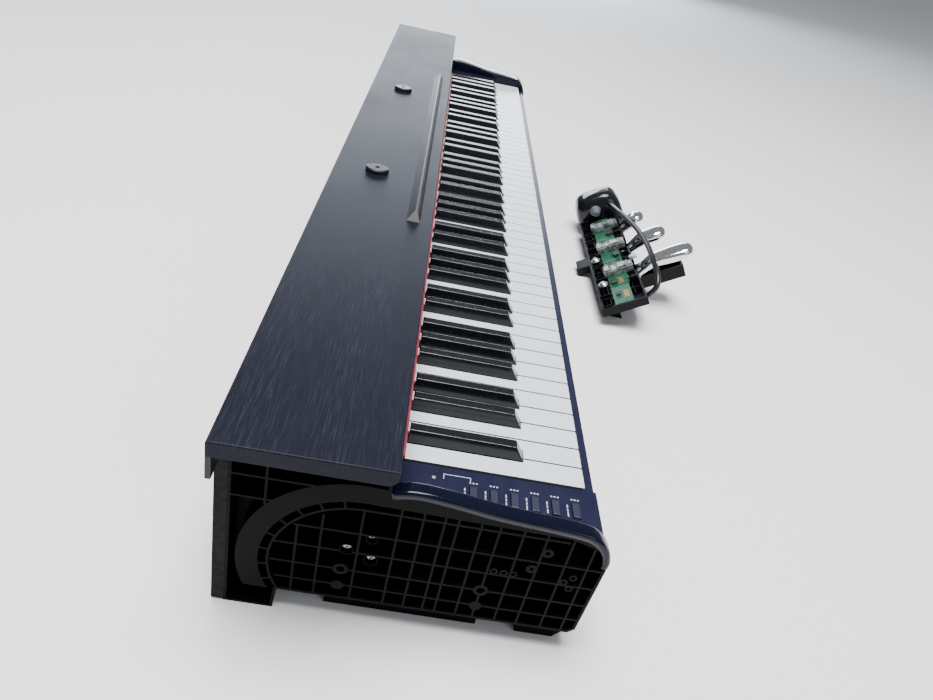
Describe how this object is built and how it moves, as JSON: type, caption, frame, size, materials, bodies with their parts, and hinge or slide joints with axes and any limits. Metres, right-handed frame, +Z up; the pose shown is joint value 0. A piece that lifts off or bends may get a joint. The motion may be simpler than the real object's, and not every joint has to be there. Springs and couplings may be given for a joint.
{
  "type": "digital piano",
  "caption": "Console of a digital piano with weighted keys, a sliding key cover and panel buttons, laid on its own feet with the pedal unit of its stand beside it.",
  "frame": {"origin": "on the floor under the middle of the case, at the bottom of its centre foot", "axes": "+X from bass to treble, +Y from the player to the back, +Z up"},
  "size_m": [1.371, 0.5251, 0.1945],
  "materials": {
    "frame_plastic": "fine textured black moulding",
    "cheek_gloss": "polished",
    "board_laminate": "dark wood grain laminate, satin",
    "satin_trim": "satin",
    "back_wood": "raw particle board under dark foil",
    "panel_satin": "satin",
    "lamp_lens": "clear lens",
    "button_plastic": "satin",
    "circuit_board": "solder mask",
    "chassis_plastic": "moulded",
    "steel": "zinc plated",
    "felt": "wool felt",
    "cover_satin": "satin",
    "speaker_cone": "paper cone, steel basket",
    "foot_rubber": "moulded",
    "housing_plastic": "moulded",
    "pedal_chrome": "polished",
    "sensor_metal": "pressed metal and clear plastic",
    "hood_gloss": "polished",
    "cable_jacket": "smooth jacket",
    "natural_plastic": "satin",
    "sharp_plastic": "polished"
  },
  "bodies": {
    "console": {"left_end_frame": "frame_plastic", "right_end_frame": "frame_plastic", "left_cheek": "cheek_gloss", "right_cheek": "cheek_gloss", "top_board": "board_laminate", "score_ledge": "satin_trim", "rest_sockets": "satin_trim", "board_hooks": "satin_trim", "back_panel": "back_wood", "bottom_panel": "back_wood", "front_rail": "panel_satin", "control_panel": "panel_satin", "power_lamp": "lamp_lens", "button_board": "circuit_board", "key_bed": "chassis_plastic", "key_pivot_rod": "steel", "sensor_board": "circuit_board", "key_felt": "felt", "name_rail": "chassis_plastic", "left_speaker": "speaker_cone", "right_speaker": "speaker_cone", "main_board": "circuit_board", "jack_box": "chassis_plastic", "rear_sockets": "chassis_plastic", "support_feet": "foot_rubber", "end_screws": "steel"},
    "cover_front": {"cover_front_leaf": "cover_satin"},
    "cover_rear": {"cover_rear_leaf": "cover_satin"},
    "button_1": {"button_1": "button_plastic"},
    "button_2": {"button_2": "button_plastic"},
    "button_3": {"button_3": "button_plastic"},
    "button_4": {"button_4": "button_plastic"},
    "button_5": {"button_5": "button_plastic"},
    "button_6": {"button_6": "button_plastic"},
    "power_button": {"power_button": "button_plastic"},
    "key_a4": {"key_a4": "natural_plastic"},
    "key_a4_sharp": {"key_a4_sharp": "sharp_plastic"},
    "key_b4": {"key_b4": "natural_plastic"},
    "key_c4": {"key_c4": "natural_plastic"},
    "key_c4_sharp": {"key_c4_sharp": "sharp_plastic"},
    "key_d4": {"key_d4": "natural_plastic"},
    "key_d4_sharp": {"key_d4_sharp": "sharp_plastic"},
    "key_e4": {"key_e4": "natural_plastic"},
    "key_f4": {"key_f4": "natural_plastic"},
    "key_f4_sharp": {"key_f4_sharp": "sharp_plastic"},
    "key_g4": {"key_g4": "natural_plastic"},
    "key_g4_sharp": {"key_g4_sharp": "sharp_plastic"},
    "naturals_high": {"naturals_high": "natural_plastic"},
    "naturals_low": {"naturals_low": "natural_plastic"},
    "sharps_high": {"sharps_high": "sharp_plastic"},
    "sharps_low": {"sharps_low": "sharp_plastic"},
    "pedal_unit": {"pedal_housing": "housing_plastic", "pedal_end_cover": "hood_gloss", "pedal_boards": "circuit_board", "pedal_sensors": "sensor_metal", "pedal_screws": "steel", "pedal_cable": "cable_jacket"},
    "pedal_left": {"pedal_left": "pedal_chrome"},
    "pedal_middle": {"pedal_middle": "pedal_chrome"},
    "pedal_right": {"pedal_right": "pedal_chrome"}
  },
  "joints": [
    {"name": "cover_slide", "type": "slide", "parent": "console", "child": "cover_front", "axis": [0, -1, 0], "range_m": [0, 0.155]},
    {"name": "cover_fold", "type": "hinge", "parent": "cover_front", "child": "cover_rear", "pos_m": [0, 0.106, 0.153], "axis": [1, 0, 0], "range_deg": [0, 75]},
    {"name": "button_1_press", "type": "slide", "parent": "console", "child": "button_1", "axis": [0, 0, -1], "range_m": [0, 0.0012], "stiffness_N_per_m": 250, "springref_m": -0.002},
    {"name": "button_2_press", "type": "slide", "parent": "console", "child": "button_2", "axis": [0, 0, -1], "range_m": [0, 0.0012], "stiffness_N_per_m": 250, "springref_m": -0.002},
    {"name": "button_3_press", "type": "slide", "parent": "console", "child": "button_3", "axis": [0, 0, -1], "range_m": [0, 0.0012], "stiffness_N_per_m": 250, "springref_m": -0.002},
    {"name": "button_4_press", "type": "slide", "parent": "console", "child": "button_4", "axis": [0, 0, -1], "range_m": [0, 0.0012], "stiffness_N_per_m": 250, "springref_m": -0.002},
    {"name": "button_5_press", "type": "slide", "parent": "console", "child": "button_5", "axis": [0, 0, -1], "range_m": [0, 0.0012], "stiffness_N_per_m": 250, "springref_m": -0.002},
    {"name": "button_6_press", "type": "slide", "parent": "console", "child": "button_6", "axis": [0, 0, -1], "range_m": [0, 0.0012], "stiffness_N_per_m": 250, "springref_m": -0.002},
    {"name": "power_button_press", "type": "slide", "parent": "console", "child": "power_button", "axis": [0, 0, -1], "range_m": [0, 0.0012], "stiffness_N_per_m": 250, "springref_m": -0.002},
    {"name": "key_a4_press", "type": "hinge", "parent": "console", "child": "key_a4", "pos_m": [0, 0.058, 0.108], "axis": [1, 0, 0], "range_deg": [0, 2.8], "stiffness_Nm_per_rad": 1, "springref_deg": -7.45},
    {"name": "key_a4_sharp_press", "type": "hinge", "parent": "console", "child": "key_a4_sharp", "pos_m": [0, 0.058, 0.108], "axis": [1, 0, 0], "range_deg": [0, 2.8], "stiffness_Nm_per_rad": 1, "springref_deg": -7.45},
    {"name": "key_b4_press", "type": "hinge", "parent": "console", "child": "key_b4", "pos_m": [0, 0.058, 0.108], "axis": [1, 0, 0], "range_deg": [0, 2.8], "stiffness_Nm_per_rad": 1, "springref_deg": -7.45},
    {"name": "key_c4_press", "type": "hinge", "parent": "console", "child": "key_c4", "pos_m": [0, 0.058, 0.108], "axis": [1, 0, 0], "range_deg": [0, 2.8], "stiffness_Nm_per_rad": 1, "springref_deg": -7.45},
    {"name": "key_c4_sharp_press", "type": "hinge", "parent": "console", "child": "key_c4_sharp", "pos_m": [0, 0.058, 0.108], "axis": [1, 0, 0], "range_deg": [0, 2.8], "stiffness_Nm_per_rad": 1, "springref_deg": -7.45},
    {"name": "key_d4_press", "type": "hinge", "parent": "console", "child": "key_d4", "pos_m": [0, 0.058, 0.108], "axis": [1, 0, 0], "range_deg": [0, 2.8], "stiffness_Nm_per_rad": 1, "springref_deg": -7.45},
    {"name": "key_d4_sharp_press", "type": "hinge", "parent": "console", "child": "key_d4_sharp", "pos_m": [0, 0.058, 0.108], "axis": [1, 0, 0], "range_deg": [0, 2.8], "stiffness_Nm_per_rad": 1, "springref_deg": -7.45},
    {"name": "key_e4_press", "type": "hinge", "parent": "console", "child": "key_e4", "pos_m": [0, 0.058, 0.108], "axis": [1, 0, 0], "range_deg": [0, 2.8], "stiffness_Nm_per_rad": 1, "springref_deg": -7.45},
    {"name": "key_f4_press", "type": "hinge", "parent": "console", "child": "key_f4", "pos_m": [0, 0.058, 0.108], "axis": [1, 0, 0], "range_deg": [0, 2.8], "stiffness_Nm_per_rad": 1, "springref_deg": -7.45},
    {"name": "key_f4_sharp_press", "type": "hinge", "parent": "console", "child": "key_f4_sharp", "pos_m": [0, 0.058, 0.108], "axis": [1, 0, 0], "range_deg": [0, 2.8], "stiffness_Nm_per_rad": 1, "springref_deg": -7.45},
    {"name": "key_g4_press", "type": "hinge", "parent": "console", "child": "key_g4", "pos_m": [0, 0.058, 0.108], "axis": [1, 0, 0], "range_deg": [0, 2.8], "stiffness_Nm_per_rad": 1, "springref_deg": -7.45},
    {"name": "key_g4_sharp_press", "type": "hinge", "parent": "console", "child": "key_g4_sharp", "pos_m": [0, 0.058, 0.108], "axis": [1, 0, 0], "range_deg": [0, 2.8], "stiffness_Nm_per_rad": 1, "springref_deg": -7.45},
    {"name": "naturals_high_press", "type": "hinge", "parent": "console", "child": "naturals_high", "pos_m": [0, 0.058, 0.108], "axis": [1, 0, 0], "range_deg": [0, 2.8], "stiffness_Nm_per_rad": 22, "springref_deg": -7.45},
    {"name": "naturals_low_press", "type": "hinge", "parent": "console", "child": "naturals_low", "pos_m": [0, 0.058, 0.108], "axis": [1, 0, 0], "range_deg": [0, 2.8], "stiffness_Nm_per_rad": 23, "springref_deg": -7.45},
    {"name": "sharps_high_press", "type": "hinge", "parent": "console", "child": "sharps_high", "pos_m": [0, 0.058, 0.108], "axis": [1, 0, 0], "range_deg": [0, 2.8], "stiffness_Nm_per_rad": 15, "springref_deg": -7.45},
    {"name": "sharps_low_press", "type": "hinge", "parent": "console", "child": "sharps_low", "pos_m": [0, 0.058, 0.108], "axis": [1, 0, 0], "range_deg": [0, 2.8], "stiffness_Nm_per_rad": 16, "springref_deg": -7.45},
    {"name": "pedal_unit_slide", "type": "slide", "parent": "console", "child": "pedal_unit", "axis": [1, 0, 0], "range_m": [-0.1, 0.1]},
    {"name": "pedal_left_press", "type": "hinge", "parent": "pedal_unit", "child": "pedal_left", "pos_m": [0, -0.2642, 0.01982], "axis": [-1, 0, 0], "range_deg": [0, 4.5], "stiffness_Nm_per_rad": 8, "springref_deg": -3.44},
    {"name": "pedal_middle_press", "type": "hinge", "parent": "pedal_unit", "child": "pedal_middle", "pos_m": [0, -0.2642, 0.01982], "axis": [-1, 0, 0], "range_deg": [0, 4.5], "stiffness_Nm_per_rad": 8, "springref_deg": -3.44},
    {"name": "pedal_right_press", "type": "hinge", "parent": "pedal_unit", "child": "pedal_right", "pos_m": [0, -0.2642, 0.01982], "axis": [-1, 0, 0], "range_deg": [0, 4.5], "stiffness_Nm_per_rad": 8, "springref_deg": -3.44}
  ],
  "couplings": [
    {"joint": "cover_fold", "follows": "cover_slide", "rad_per_m": 8.44}
  ]
}
